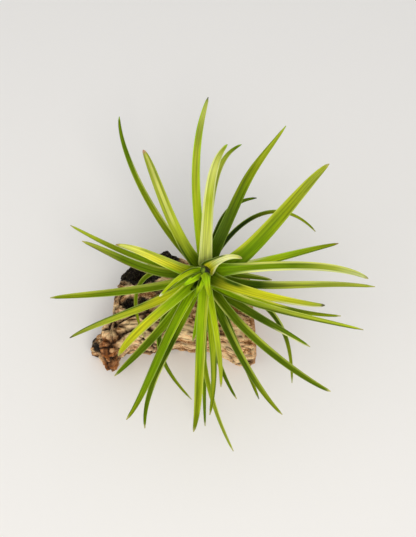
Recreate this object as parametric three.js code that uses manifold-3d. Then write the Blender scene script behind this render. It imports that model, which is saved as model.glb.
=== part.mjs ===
// Tillandsia tenuifolia 'Emerald Forest': an air plant seated on a piece of bark.
// Millimetres and degrees. +Z is up, +X runs along the bark, and the plant leans to -Y, the front.
// The origin lies on the surface under the bark, straight below the crown.
import * as THREE from 'three';
import { mergeVertices } from 'three/addons/utils/BufferGeometryUtils.js';
import Module from 'manifold-3d';

// The crown: where the youngest leaves come out of the stem
const crownHeight = 63;
const crownLean = 25;

// The stem, measured down its own axis from the crown
const stemFootDepth = 40;
const stemTopDepth = 5;
const stemFootRadius = 3.6;
const stemNeckRadius = 2;
const stemDome = 9;
const stemDomeRound = 0.6;
const stemStations = [30, 20, stemDome, 7, stemTopDepth];
const stemSides = 14;

// How leaves sit on the stem
const bladeThickness = 0.6;
const leafClearance = 0.32;
const lowestLeafDepth = 35;
const leafStep = 0.2;
const claspFront = 31;
const claspBack = 20;
const sheathFill = 0.9;

// How leaves rise: angles above the crown's own plane, from the oldest leaf to the youngest, how those
// at the front turn up to lie level, and how far all of them sag by a distance from the stem
const risingOld = 48;
const risingYoung = 58;
const bendLength = 8;
const spreadOld = -0.15;
const spreadMid = 0.72;
const spreadYoung = 0.6;
const spreadYoungPower = 6;
const levelling = 0.36;
const levellingStart = 12;
const sagDepth = 6;
const sagReach = 70;

// Blade outline and section
const bladeStations = 11;
const bladePoints = 4;
const stationBunching = 1.5;
const tipWidth = 0.7;
const taperStart = 2.6;
const taperRound = 0.85;
const flare = 0.6;
const flareReach = 9;
const channelAngle = 30;
const channelStart = 0.05;
const channelFull = 0.4;
const slopeStep = 0.05;
const headingStep = 0.01;

// Each leaf, oldest first: out is the bearing at which it leaves the stem, end the bearing of its tip,
// reach the tip's distance from the stem's axis, wide its greatest width and aim the heading of its tip,
// where the blade isn't one even arc. It runs straight from the stem over a lead and takes up its aim
// over a hook, both as shares of its reach. hug is half the angle that its sheath clasps, flare how much
// wider it is at its foot and flareReach how soon that ends, taper how late it narrows and start how far
// from the stem's axis it begins, each where it is unusual.
const leaves = [
  { out: 138, end: 119, aim: 90, lead: 0.35, hook: 0.2, reach: 90, wide: 2.9, tone: 'dark' },
  { out: -91, end: -90, aim: -88, reach: 73.5, wide: 2.2, tone: 'dark' },
  { out: 60, end: 20, aim: -48, lead: 0.66, hook: 0.38, reach: 58, wide: 1.7, tone: 'dark' },
  { out: 170, end: 227, aim: -67, lead: 0.68, hook: 0.7, reach: 43, wide: 2.0, tone: 'pale' },
  { out: -24, end: -52, aim: -90, lead: 0.5, hook: 0.45, reach: 67.5, wide: 2.4, tone: 'dark' },
  { out: -140, end: -96, aim: -45, lead: 0.55, hook: 0.55, reach: 60.5, wide: 2.3, tone: 'mid' },
  { out: 74, end: 55, aim: 5, lead: 0.5, hook: 0.4, reach: 44, wide: 2.7, tone: 'dark' },
  { out: -90, end: -76, aim: -58, reach: 61.5, wide: 2.3, tone: 'dark' },
  { out: 175, end: 161, aim: 152, reach: 70, wide: 2.6, tone: 'mid' },
  { out: -4, end: -7, reach: 32.5, wide: 2.8, tone: 'dark' },
  { out: -99, end: -81, aim: -62, reach: 84, wide: 2.2, tone: 'mid' },
  { out: 87, end: 74, aim: 25, lead: 0.68, hook: 0.2, reach: 64.5, wide: 2.7, tone: 'mid' },
  { out: -34, end: -18, reach: 68.5, wide: 2.6, tone: 'mid' },
  { out: -148, end: -153, reach: 37, wide: 2.3, tone: 'dark' },
  { out: -66, end: -67, reach: 64, wide: 2.6, tone: 'dark' },
  { out: 99, end: 89, aim: 74, lead: 0.6, hook: 0.2, reach: 85, wide: 3.6, taper: 3.4, tone: 'bright' },
  { out: 188, end: 166, aim: 161, lead: 0.42, hook: 0.34, reach: 61, wide: 3.7, taper: 3.4, tone: 'mid' },
  { out: 3, end: 12, aim: 11, lead: 0.2, hook: 0.28, reach: 65.5, wide: 3.9, tone: 'mid' },
  { out: -97, end: -100, reach: 33, wide: 2.4, tone: 'mid' },
  { out: 135, end: 117, aim: 127, lead: 0.3, hook: 0.12, reach: 65.5, wide: 4.6, taper: 4, tone: 'bright' },
  { out: -61, end: -35.5, aim: -31, lead: 0.2, hook: 0.4, reach: 60, wide: 4.2, tone: 'dark' },
  { out: -153, end: -170.5, aim: -176, lead: 0.2, hook: 0.35, reach: 74, wide: 3.5, taper: 4.5, tone: 'mid' },
  { out: 66, end: 61, aim: 53, lead: 0.7, hook: 0.45, reach: 79.5, wide: 4.6, tone: 'mid' },
  { out: -73, end: -61.5, aim: -42, lead: 0.3, hook: 0.25, reach: 73.5, wide: 3.5, tone: 'dark' },
  { out: -138.5, end: -154, aim: -150, lead: 0.3, hook: 0.3, reach: 69.5, wide: 3.8, tone: 'bright' },
  { out: -24, end: -5, aim: -6, lead: 0.3, hook: 0.46, reach: 80, wide: 3.5, taper: 3.6, tone: 'mid' },
  { out: -114, end: -111, aim: -86, lead: 0.5, hook: 0.25, reach: 74.5, wide: 3.0, tone: 'mid' },
  { out: -67, end: -43.5, aim: -20, lead: 0.33, hook: 0.15, reach: 77.5, wide: 3.6, tone: 'mid' },
  { out: -125, end: -131, aim: -138, reach: 61.5, wide: 3.7, taper: 4, tone: 'mid' },
  { out: -2, end: 41, aim: 32, lead: 0.2, hook: 0.18, reach: 76, wide: 7.4, tone: 'bright' },
  { out: -84, end: -88, aim: -102, reach: 62.5, wide: 3.1, tone: 'bright' },
  { out: 188, end: 163, aim: 174, lead: 0.2, hook: 0.35, reach: 43, wide: 4.3, taper: 3.4, tone: 'yellow' },
  { out: -62, end: -20, aim: -12, lead: 0.16, hook: 0.45, reach: 75, wide: 3.1, tone: 'pale' },
  { out: 88, end: 80, aim: 44, lead: 0.65, hook: 0.18, reach: 59, wide: 4.6, tone: 'pale' },
  { out: -124, end: -118, aim: -130, lead: 0.46, hook: 0.2, reach: 72, wide: 3.7, tone: 'bright' },
  {
    out: 6.5, end: -2.3, aim: -28, lead: 0.65, hook: 0.14, reach: 73, wide: 3.8, flare: 2.4, flareReach: 6,
    tone: 'mid',
  },
  { out: -79, end: -82, aim: -92, lead: 0.45, hook: 0.25, reach: 50.5, wide: 2.4, tone: 'bright' },
  { out: -135, end: -136, aim: -122, lead: 0.4, hook: 0.3, reach: 52.5, wide: 3.9, taper: 7, tone: 'bright' },
  {
    out: -48, end: -15.4, aim: 8, lead: 0.13, hook: 0.14, reach: 55, wide: 4.0, hug: 52, flare: 1.1,
    tone: 'yellow',
  },
  { out: -94, end: -94, aim: -106, lead: 0.6, hook: 0.15, reach: 66.5, wide: 3.9, tone: 'bright' },
  {
    out: 50, end: 20, aim: -30, lead: 0.3, hook: 0.35, reach: 18, wide: 2.6, hug: 95, flare: 6.5,
    flareReach: 3, tone: 'pale',
  },
  { out: 165, end: 208, aim: 224, lead: 0.3, hook: 0.3, reach: 23, wide: 1.9, tone: 'bright' },
  { out: -118, end: -128, reach: 10.5, wide: 1.7, tone: 'bright' },
  { out: -148, end: -148, reach: 11.5, wide: 2.1, tone: 'bright' },
  { out: -106, end: -112, reach: 12, wide: 2.1, tone: 'bright' },
  {
    out: -75, end: -78.7, aim: -72, reach: 11.7, wide: 2.2, hug: 60, flare: 2.4, flareReach: 3, taper: 2,
    start: 0.4, tone: 'bright',
  },
];
const defaultLead = 0.36;
const defaultHook = 0.32;

// The bark: its outline in plan and its height, from the left end to the cut right end
const barkOutline = [
  { x: -57.5, front: -18, back: -14, top: 9 },
  { x: -54, front: -19.5, back: -10, top: 14 },
  { x: -50, front: -24.5, back: -8, top: 18 },
  { x: -47, front: -26, back: -7, top: 21 },
  { x: -44.7, front: -25, back: 13, top: 23.5 },
  { x: -42, front: -22, back: 20, top: 25 },
  { x: -36, front: -18.5, back: 24.5, top: 26.5 },
  { x: -24, front: -18, back: 27, top: 27.5 },
  { x: -12, front: -17.5, back: 27, top: 28.3 },
  { x: 0, front: -17, back: 25, top: 28.3 },
  { x: 8, front: -21.5, back: 24, top: 28 },
  { x: 16, front: -24, back: 22.5, top: 27.5 },
  { x: 21, front: -24, back: 21.5, top: 27 },
  { x: 23.5, front: -23, back: 19.5, top: 25 },
];
const barkStations = 38;
const barkSides = 44;
const barkBoxiness = 0.55;
const barkMiddle = 0.45;
const endSkew = 0.07;
const endSkewStart = 8;
const ridgeTurns = 11;
const ridgeHeight = 0.03;
const ridgeWander = 0.2;
const ridgeWanderLength = 57;
const swellLength = 23;
const swellTwist = 5;
const swellHeight = 0.035;
const hollowEdge = 1.5;

// Rotted hollows in the top of the bark, and the knobs that stand out of it
const hollows = [
  { x: -31, y: 17, long: 9, broad: 5, deep: 8 },
  { x: -35, y: 1, long: 6, broad: 3.5, deep: 7 },
];
const knobs = [
  { x: -19.5, y: 26.5, z: 27, radius: 6, out: 4.5 },
  { x: -49, y: -12, z: 19, radius: 5.5, out: 3 },
  { x: -50, y: -20, z: 14, radius: 4.5, out: 2 },
  { x: -45, y: -26, z: 7, radius: 5, out: 3 },
];

// The holdfast roots: the bearing of each from the stem's foot and how far it creeps
const roots = [
  { bearing: 5, length: 14 },
  { bearing: 60, length: 6 },
  { bearing: 160, length: 16 },
  { bearing: 195, length: 24 },
  { bearing: 245, length: 20 },
  { bearing: 300, length: 22 },
  { bearing: 340, length: 18 },
];
const rootsDepth = 36.5;
const rootRadius = 0.55;
const rootTipRadius = 0.3;
const rootWander = 14;
const rootWaves = 5;
const rootSides = 6;
const rootSteps = 9;
const rootSunk = 0.15;
const seatClearance = 0.3;

const rad = THREE.MathUtils.degToRad;
const crownFrame = new THREE.Matrix4()
  .makeRotationX(rad(crownLean))
  .setPosition(0, 0, crownHeight);

// A closed body from its points and its triangles, which share points where they meet
function closedBody(points, triangles) {
  const geometry = new THREE.BufferGeometry();
  geometry.setAttribute('position', new THREE.Float32BufferAttribute(points.flat(), 3));
  geometry.setIndex(triangles.flat());
  return geometry;
}

// A skin over rings of points, closed with a fan at each end
function ringsToBody(rings) {
  const sides = rings[0].length;
  const points = rings.flat();
  const triangles = [];
  for (let i = 0; i + 1 < rings.length; i += 1) {
    for (let j = 0; j < sides; j += 1) {
      const a = i * sides + j;
      const b = i * sides + (j + 1) % sides;
      triangles.push([a, b, b + sides], [a, b + sides, a + sides]);
    }
  }
  for (const [start, flip] of [[0, true], [(rings.length - 1) * sides, false]]) {
    const ring = points.slice(start, start + sides);
    const middle = [0, 1, 2].map((axis) => ring.reduce((sum, p) => sum + p[axis], 0) / sides);
    points.push(middle);
    for (let j = 0; j < sides; j += 1) {
      const a = start + j;
      const b = start + (j + 1) % sides;
      triangles.push(flip ? [points.length - 1, b, a] : [points.length - 1, a, b]);
    }
  }
  return closedBody(points, triangles);
}

// A round bar along a list of points, with a radius at each. No bar runs along its twist.
const barTwist = new THREE.Vector3(0.3, 0.95, 0);
function bar(path, radii, sides) {
  const rings = path.map((point, i) => {
    const before = path[Math.max(i - 1, 0)];
    const after = path[Math.min(i + 1, path.length - 1)];
    const along = new THREE.Vector3().subVectors(after, before).normalize();
    const level = barTwist.clone().cross(along).normalize();
    const across = new THREE.Vector3().crossVectors(along, level);
    return Array.from({ length: sides }, (_, j) => {
      const turn = (2 * Math.PI * j) / sides;
      return point.clone()
        .addScaledVector(level, radii[i] * Math.cos(turn))
        .addScaledVector(across, radii[i] * Math.sin(turn))
        .toArray();
    });
  });
  return ringsToBody(rings);
}

// Stem radius at a depth below the crown, where the stem ends in a blunt dome
function stemRadius(depth) {
  const girth = THREE.MathUtils.lerp(stemNeckRadius, stemFootRadius, Math.min(depth / stemFootDepth, 1));
  return girth * Math.min(depth / stemDome, 1) ** stemDomeRound;
}

const sheathRadius = (depth) => stemRadius(depth) + leafClearance;

// Half the angle that a leaf's sheath clasps, wider at the back where leaves are fewer
const clasp = (leaf) => leaf.hug ?? claspFront + claspBack * Math.max(0, Math.sin(rad(leaf.out)));

// 0 for a leaf at the bottom of the stem and 1 for one at the crown
const youth = (depth) => 1 - depth / lowestLeafDepth;

const startSlope = (depth) => Math.tan(rad(THREE.MathUtils.lerp(risingOld, risingYoung, youth(depth))));

const endSlope = (depth) =>
  spreadOld + spreadMid * youth(depth) + spreadYoung * youth(depth) ** spreadYoungPower;

// Height of the leaf surface that starts at a depth, at a distance from the stem's axis. Surfaces that
// start higher lie higher everywhere, so leaves nest and never cross.
function bowlHeight(depth, x, y) {
  const distance = Math.hypot(x, y);
  const out = distance - sheathRadius(depth);
  const rise = (startSlope(depth) - endSlope(depth)) * bendLength * (1 - Math.exp(-out / bendLength));
  const level = (levelling * (Math.hypot(y, levellingStart) - y - levellingStart)) / 2;
  const sag = sagDepth * (distance / sagReach) ** 2;
  return -depth + endSlope(depth) * out + rise + level - sag;
}

// Each leaf is inserted just above the older ones that its sheath overlaps
function insertionDepths() {
  const depths = [];
  leaves.forEach((leaf, i) => {
    let depth = i ? depths[i - 1] - leafStep : lowestLeafDepth;
    for (let j = 0; j < i; j += 1) {
      const apart = Math.abs((((leaf.out - leaves[j].out) % 360) + 540) % 360 - 180);
      const steep = Math.hypot(1, startSlope(depths[j]));
      const room = (bladeThickness + leafClearance) * steep;
      if (apart < clasp(leaf) + clasp(leaves[j])) depth = Math.min(depth, depths[j] - room);
    }
    depths.push(depth);
  });
  return depths;
}

// The midrib of a leaf: its course in plan is a Bezier curve, and its height is that of its bowl
function midrib(leaf, depth) {
  const start = leaf.start ?? sheathRadius(depth);
  const aim = leaf.aim ?? 2 * leaf.end - leaf.out;
  const span = leaf.reach - start;
  const at = (bearing, distance) =>
    new THREE.Vector2(Math.cos(rad(bearing)), Math.sin(rad(bearing))).multiplyScalar(distance);
  const from = at(leaf.out, start);
  const to = at(leaf.end, leaf.reach);
  const plan = new THREE.CubicBezierCurve(
    from,
    from.clone().add(at(leaf.out, span * (leaf.lead ?? defaultLead))),
    to.clone().sub(at(aim, span * (leaf.hook ?? defaultHook))),
    to,
  );
  return (t) => {
    const { x, y } = plan.getPoint(t);
    return new THREE.Vector3(x, y, bowlHeight(depth, x, y));
  };
}

// Blade width along the leaf
function bladeWidth(leaf, t, distance) {
  const sheath = 2 * rad(clasp(leaf)) * distance * sheathFill;
  const flared = (leaf.flare ?? flare) * Math.exp(-distance / (leaf.flareReach ?? flareReach));
  const taper = (1 - t ** (leaf.taper ?? taperStart)) ** taperRound;
  return Math.max(tipWidth, Math.min(sheath, leaf.wide * (1 + flared) * taper));
}

// One leaf: a thin channelled blade that clasps the stem and narrows to its tip
function leafGeometry(leaf, depth) {
  const spine = midrib(leaf, depth);
  const points = [];
  for (let i = 0; i <= bladeStations; i += 1) {
    const t = (i / bladeStations) ** stationBunching;
    const centre = spine(t);
    const along = spine(Math.min(t + headingStep, 1)).sub(spine(Math.max(t - headingStep, 0))).normalize();
    const slopeX = (bowlHeight(depth, centre.x + slopeStep, centre.y)
      - bowlHeight(depth, centre.x - slopeStep, centre.y)) / (2 * slopeStep);
    const slopeY = (bowlHeight(depth, centre.x, centre.y + slopeStep)
      - bowlHeight(depth, centre.x, centre.y - slopeStep)) / (2 * slopeStep);
    const up = new THREE.Vector3(-slopeX, -slopeY, 1).normalize();
    const side = new THREE.Vector3().crossVectors(along, up).normalize();
    const face = new THREE.Vector3().crossVectors(side, along);
    const distance = Math.hypot(centre.x, centre.y);
    const slope = Math.hypot(slopeX, slopeY);
    const wrap = slope / Math.hypot(1, slope) / distance;
    const half = bladeWidth(leaf, t, distance) / 2;
    const channel = rad(channelAngle) * THREE.MathUtils.smoothstep(t, channelStart, channelFull) / half;
    const curve = wrap + channel;
    const upper = [];
    const lower = [];
    for (let j = 0; j < bladePoints; j += 1) {
      const turn = curve * half * ((2 * j) / (bladePoints - 1) - 1);
      const inner = centre.clone()
        .addScaledVector(side, Math.sin(turn) / curve)
        .addScaledVector(face, (1 - Math.cos(turn)) / curve);
      const outward = side.clone().multiplyScalar(Math.sin(turn)).addScaledVector(face, -Math.cos(turn));
      upper.push(inner.toArray());
      lower.push(inner.addScaledVector(outward, bladeThickness).toArray());
    }
    points.push(...upper, ...lower);
  }
  return closedBody(points, bladeTriangles());
}

// Triangles of a blade, split alike on its upper and lower faces
function bladeTriangles() {
  const ring = 2 * bladePoints;
  const last = bladePoints - 1;
  const triangles = [];
  const quad = (a, b, c, d) => triangles.push([a, b, c], [a, c, d]);
  for (let i = 0; i < bladeStations; i += 1) {
    const here = i * ring;
    const next = here + ring;
    for (let j = 0; j < last; j += 1) {
      quad(here + j, here + j + 1, next + j + 1, next + j);
      const under = here + bladePoints + j;
      triangles.push([under, under + ring + 1, under + 1], [under, under + ring, under + ring + 1]);
    }
    quad(here + last, here + last + bladePoints, next + last + bladePoints, next + last);
    quad(here + bladePoints, here, next, next + bladePoints);
  }
  const end = bladeStations * ring;
  for (let j = 0; j < last; j += 1) {
    quad(j, j + bladePoints, j + bladePoints + 1, j + 1);
    quad(end + j, end + j + 1, end + j + bladePoints + 1, end + j + bladePoints);
  }
  return triangles;
}

const firstX = barkOutline[0].x;
const lastX = barkOutline[barkOutline.length - 1].x;

// A size of the bark at a place along it, eased between the rows of its outline
function barkSize(name, x) {
  const i = Math.min(Math.max(barkOutline.findIndex((row) => row.x >= x), 1), barkOutline.length - 1);
  const before = barkOutline[i - 1];
  const after = barkOutline[i];
  return THREE.MathUtils.lerp(before[name], after[name], THREE.MathUtils.smoothstep(x, before.x, after.x));
}

// A point on the bark, a share of the way round its girth at a place along it
function barkPoint(x, share) {
  const turn = 2 * Math.PI * share;
  const squared = (value) => Math.sign(value) * Math.abs(value) ** barkBoxiness;
  const front = barkSize('front', x);
  const back = barkSize('back', x);
  const top = barkSize('top', x);
  const across = squared(Math.cos(turn));
  const up = squared(Math.sin(turn));
  const wander = ridgeWander * Math.sin((2 * Math.PI * x) / ridgeWanderLength);
  const ridge = ridgeHeight * Math.sin(2 * Math.PI * (ridgeTurns * share + wander));
  const swell = swellHeight * Math.sin((2 * Math.PI * x) / swellLength + swellTwist * share);
  const grow = 1 + ridge + swell;
  const point = new THREE.Vector3(
    x,
    (front + back) / 2 + ((back - front) / 2) * across * grow,
    top * barkMiddle + top * (1 - barkMiddle) * up * grow,
  );
  for (const knob of knobs) {
    const reach = point.distanceTo(new THREE.Vector3(knob.x, knob.y, knob.z)) / knob.radius;
    const push = knob.out * Math.exp(-reach * reach);
    point.y += push * across;
    point.z += push * up;
  }
  for (const hollow of hollows) {
    const reach = ((x - hollow.x) / hollow.long) ** 2 + ((point.y - hollow.y) / hollow.broad) ** 2;
    if (up > 0) point.z -= hollow.deep * Math.exp(-(reach ** hollowEdge));
  }
  point.x -= endSkew * point.y * THREE.MathUtils.smoothstep(x, endSkewStart, lastX);
  point.z = Math.max(point.z, 0);
  return point.toArray();
}

function barkBody() {
  const rings = [];
  for (let i = 0; i <= barkStations; i += 1) {
    const x = THREE.MathUtils.lerp(firstX, lastX, i / barkStations);
    rings.push(Array.from({ length: barkSides }, (_, j) => barkPoint(x, j / barkSides)));
  }
  return ringsToBody(rings);
}

// Points of a root: out of the stem's foot, then creeping over the bark
function rootPath(root, foot, heightAt) {
  return Array.from({ length: rootSteps + 1 }, (_, i) => {
    const share = i / rootSteps;
    const bearing = rad(root.bearing + rootWander * Math.sin(rootWaves * share + root.bearing));
    const x = foot.x + root.length * share * Math.cos(bearing);
    const y = foot.y + root.length * share * Math.sin(bearing);
    return new THREE.Vector3(x, y, heightAt(x, y) + rootRadius - rootSunk);
  });
}

const rootRadii = (grown) => Array.from(
  { length: rootSteps + 1 },
  (_, i) => THREE.MathUtils.lerp(rootRadius, rootTipRadius, i / rootSteps) + grown,
);

function stemBody(grown) {
  const stations = [stemFootDepth + grown, ...stemStations];
  const path = stations.map((depth) => new THREE.Vector3(0, 0, -depth).applyMatrix4(crownFrame));
  return bar(path, stations.map((depth) => stemRadius(depth) + grown), stemSides);
}

const wasm = await Module();
wasm.setup();

function solidOf(geometry) {
  const merged = mergeVertices(geometry);
  return new wasm.Manifold(new wasm.Mesh({
    numProp: 3,
    vertProperties: merged.attributes.position.array,
    triVerts: Uint32Array.from(merged.index.array),
  }));
}

function geometryOf(solid) {
  const mesh = solid.getMesh();
  const geometry = new THREE.BufferGeometry();
  geometry.setAttribute('position', new THREE.Float32BufferAttribute(mesh.vertProperties, 3));
  geometry.setIndex(Array.from(mesh.triVerts));
  return geometry;
}

const barkColour = 0x9a7350;
const barkRoughness = 0.95;
const stemColour = 0x8a7a4c;
const stemRoughness = 0.8;
const leafColours = { dark: 0x3f6b17, mid: 0x6f9a1e, bright: 0x9dc22a, pale: 0xc3cf7c, yellow: 0xc9cf2b };
const leafRoughness = 0.45;

function namedMesh(name, geometry, colour, roughness) {
  geometry.computeVertexNormals();
  const material = new THREE.MeshStandardMaterial({ color: colour, roughness, metalness: 0 });
  const mesh = new THREE.Mesh(geometry, material);
  mesh.name = name;
  return mesh;
}

const plant = new THREE.Group();

// Bark, stem and roots
const rawBark = new THREE.Mesh(barkBody());
const dropRay = new THREE.Raycaster();
function barkHeight(x, y) {
  dropRay.set(new THREE.Vector3(x, y, crownHeight), new THREE.Vector3(0, 0, -1));
  return dropRay.intersectObject(rawBark)[0].point.z;
}
const foot = new THREE.Vector3(0, 0, -rootsDepth).applyMatrix4(crownFrame);
let stem = solidOf(stemBody(0));
let bark = solidOf(rawBark.geometry).subtract(solidOf(stemBody(seatClearance)));
for (const root of roots) {
  const path = rootPath(root, foot, barkHeight);
  stem = stem.add(solidOf(bar(path, rootRadii(0), rootSides)));
  bark = bark.subtract(solidOf(bar(path, rootRadii(seatClearance), rootSides)));
}
plant.add(namedMesh('bark_mount', geometryOf(bark), barkColour, barkRoughness));
plant.add(namedMesh('stem', geometryOf(stem), stemColour, stemRoughness));

// Leaves, in the frame of the leaning crown
const crown = new THREE.Group();
crown.position.z = crownHeight;
crown.rotation.x = rad(crownLean);
const depths = insertionDepths();
leaves.forEach((leaf, i) => {
  const name = `leaf_${String(i + 1).padStart(2, '0')}`;
  const blade = leafGeometry(leaf, depths[i]);
  crown.add(namedMesh(name, blade, leafColours[leaf.tone], leafRoughness));
});
plant.add(crown);

export default plant;
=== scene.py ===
import math
import random

import bpy
import numpy as np
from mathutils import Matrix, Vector, noise
from mathutils.bvhtree import BVHTree


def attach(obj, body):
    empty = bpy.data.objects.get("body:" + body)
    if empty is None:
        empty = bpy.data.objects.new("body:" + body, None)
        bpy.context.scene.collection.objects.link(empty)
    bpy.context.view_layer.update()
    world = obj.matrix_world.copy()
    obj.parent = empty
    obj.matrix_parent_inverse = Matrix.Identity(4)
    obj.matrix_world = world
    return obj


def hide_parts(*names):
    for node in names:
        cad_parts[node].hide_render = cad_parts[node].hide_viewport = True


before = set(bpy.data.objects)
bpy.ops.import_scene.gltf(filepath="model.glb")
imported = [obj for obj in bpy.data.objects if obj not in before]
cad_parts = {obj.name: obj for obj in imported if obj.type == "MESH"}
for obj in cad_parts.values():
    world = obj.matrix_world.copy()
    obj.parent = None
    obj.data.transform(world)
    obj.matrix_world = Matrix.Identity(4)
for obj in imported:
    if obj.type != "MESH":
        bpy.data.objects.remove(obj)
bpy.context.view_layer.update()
print("frame loaded,", len(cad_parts), "nodes")

# All sizes below are in millimetres and degrees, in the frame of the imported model
mm = 0.001
up = Vector((0, 0, 1))


# Small tools

def smooth(low, high, value):
    share = np.clip((np.asarray(value, float) - low) / (high - low), 0, 1)
    return share * share * (3 - 2 * share)


def mix(start, end, share):
    return start + (end - start) * share


def unit(vectors):
    return vectors / np.maximum(np.linalg.norm(vectors, axis=-1, keepdims=True), 1e-9)


def linear(hexColour):  # sRGB hex to linear light
    values = [int(hexColour[i:i + 2], 16) / 255 for i in (1, 3, 5)]
    return [v / 12.92 if v <= 0.04045 else ((v + 0.055) / 1.055) ** 2.4 for v in values] + [1.0]


def tint(colours, hexColour, share):
    return mix(colours, np.array(linear(hexColour)[:3]), share)


def setStops(ramp, stops):
    while len(ramp.elements) < len(stops):
        ramp.elements.new(1)
    for element, (place, colour) in zip(ramp.elements, stops):
        element.position = place
        element.color = linear(colour)


# Links a node's sockets to other sockets, or to the first output in use of other nodes
def linkNode(tree, node, links):
    for name, start in links.items():
        if hasattr(start, "outputs"):
            start = next(socket for socket in start.outputs if socket.enabled)
        tree.links.new(start, node.inputs[name])


# Adds a node: a setting is one of its sockets, by number or name, its colour ramp's stops or its own
def addNode(tree, kind, settings=None, links=None):
    node = tree.nodes.new(kind)
    for name, value in (settings or {}).items():
        if name == "stops":
            setStops(node.color_ramp, value)
        elif isinstance(name, int) or name in node.inputs:
            node.inputs[name].default_value = value
        else:
            setattr(node, name, value)
    linkNode(tree, node, links or {})
    return node


def newMaterial(name, settings):
    material = bpy.data.materials.new(name)
    material.use_nodes = True
    tree = material.node_tree
    shader = tree.nodes["Principled BSDF"]
    for socket, value in settings.items():
        shader.inputs[socket].default_value = value
    return material, tree, shader


# A mesh from points in millimetres, with attributes that its material reads
def addMesh(name, points, faces, material, attributes=None):
    mesh = bpy.data.meshes.new(name)
    mesh.from_pydata((np.asarray(points) * mm).tolist(), [], faces)
    mesh.validate()
    mesh.polygons.foreach_set("use_smooth", [True] * len(mesh.polygons))
    for key, values in (attributes or {}).items():
        values = np.asarray(values, np.float32)
        kind, field = ("FLOAT", "value") if values.ndim == 1 else ("FLOAT_VECTOR", "vector")
        mesh.attributes.new(key, kind, "POINT").data.foreach_set(field, values.ravel())
    mesh.materials.append(material)
    piece = bpy.data.objects.new(name, mesh)
    bpy.context.scene.collection.objects.link(piece)
    return piece


# Faces of a skin over rings of points, closed with a fan at each end round an added point
def skinFaces(ringCount, sides):
    faces = []
    for i in range(ringCount - 1):
        for j in range(sides):
            a, b = i * sides + j, i * sides + (j + 1) % sides
            faces.append((a, b, b + sides, a + sides))
    first, last = ringCount * sides, ringCount * sides + 1
    end = (ringCount - 1) * sides
    for j in range(sides):
        after = (j + 1) % sides
        faces.append((first, after, j))
        faces.append((last, end + j, end + after))
    return faces


def closeRings(rings):
    rings = np.asarray(rings, float)
    ends = np.array([rings[0].mean(0), rings[-1].mean(0)])
    return np.vstack([rings.reshape(-1, 3), ends]), skinFaces(len(rings), rings.shape[1])


# Camera and stage

cameraLook = {
    "crown": (0, 0, 63),
    "elevation": 65,
    "distance": 480,
    "focal": 69.95,
    "sensor": 36,  # along the picture's long side
    "right": 1.4,  # how far the picture's middle lies right of the crown
    "above": 1.6,  # and above it
}


def addCamera():
    look = cameraLook
    tilt = math.radians(look["elevation"])
    forward = Vector((0, math.cos(tilt), -math.sin(tilt)))
    right = Vector((1, 0, 0))
    above = right.cross(forward)
    target = Vector(look["crown"]) + right * look["right"] + above * look["above"]
    data = bpy.data.cameras.new("camera")
    data.lens = look["focal"]
    data.sensor_width = look["sensor"]
    camera = bpy.data.objects.new("camera", data)
    camera.location = (target - forward * look["distance"]) * mm
    camera.rotation_euler = forward.to_track_quat("-Z", "Y").to_euler()
    bpy.context.scene.collection.objects.link(camera)
    bpy.context.scene.camera = camera


stageLook = {
    "floorSize": 6000,
    "floorColour": "#f1eee9",
    "floorRoughness": 0.85,
    "floorSpecular": 0.2,
    "floorDrop": 0.1,  # so that it shares no plane with the bark's flat underside
    "skyColour": "#f3f6fb",
    "skyStrength": 0.65,
    "keyPlace": (180, -560, 790),
    "keySize": 560,
    "keyPower": 3.9,
    "keyColour": "#fffaf3",
    "fillPlace": (-700, -300, 500),
    "fillSize": 700,
    "fillPower": 1.42,
    "fillColour": "#fffdf8",
}


# Matte paper, lightly toothed: a floor with no shine of its own
def matteFloorPaper():
    return newMaterial("matteFloorPaper", {
        "Base Color": linear(stageLook["floorColour"]),
        "Roughness": stageLook["floorRoughness"],
        "Specular IOR Level": stageLook["floorSpecular"],
    })[0]


def addLight(name, place, size, power, colour):
    data = bpy.data.lights.new(name, "AREA")
    data.shape = "DISK"
    data.size = size * mm
    data.energy = power
    data.color = linear(colour)[:3]
    light = bpy.data.objects.new(name, data)
    light.location = Vector(place) * mm
    toCrown = Vector(cameraLook["crown"]) - Vector(place)
    light.rotation_euler = toCrown.to_track_quat("-Z", "Y").to_euler()
    bpy.context.scene.collection.objects.link(light)


def addStage():
    half = stageLook["floorSize"] / 2
    corners = [(-half, -half, 0), (half, -half, 0), (half, half, 0), (-half, half, 0)]
    floor = addMesh("floor", corners, [(0, 1, 2, 3)], matteFloorPaper())
    floor.location.z = -stageLook["floorDrop"] * mm
    for name in ("key", "fill"):
        addLight(name, *(stageLook[name + part] for part in ("Place", "Size", "Power", "Colour")))
    world = bpy.data.worlds.new("softSky")
    world.use_nodes = True
    sky = world.node_tree.nodes["Background"]
    sky.inputs["Color"].default_value = linear(stageLook["skyColour"])
    sky.inputs["Strength"].default_value = stageLook["skyStrength"]
    bpy.context.scene.world = world
    bpy.context.scene.view_settings.view_transform = "Standard"


addCamera()
addStage()
print("camera, floor and lights set")

# The plant's own frame: where the crown is and how leaves rise from the stem

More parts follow.
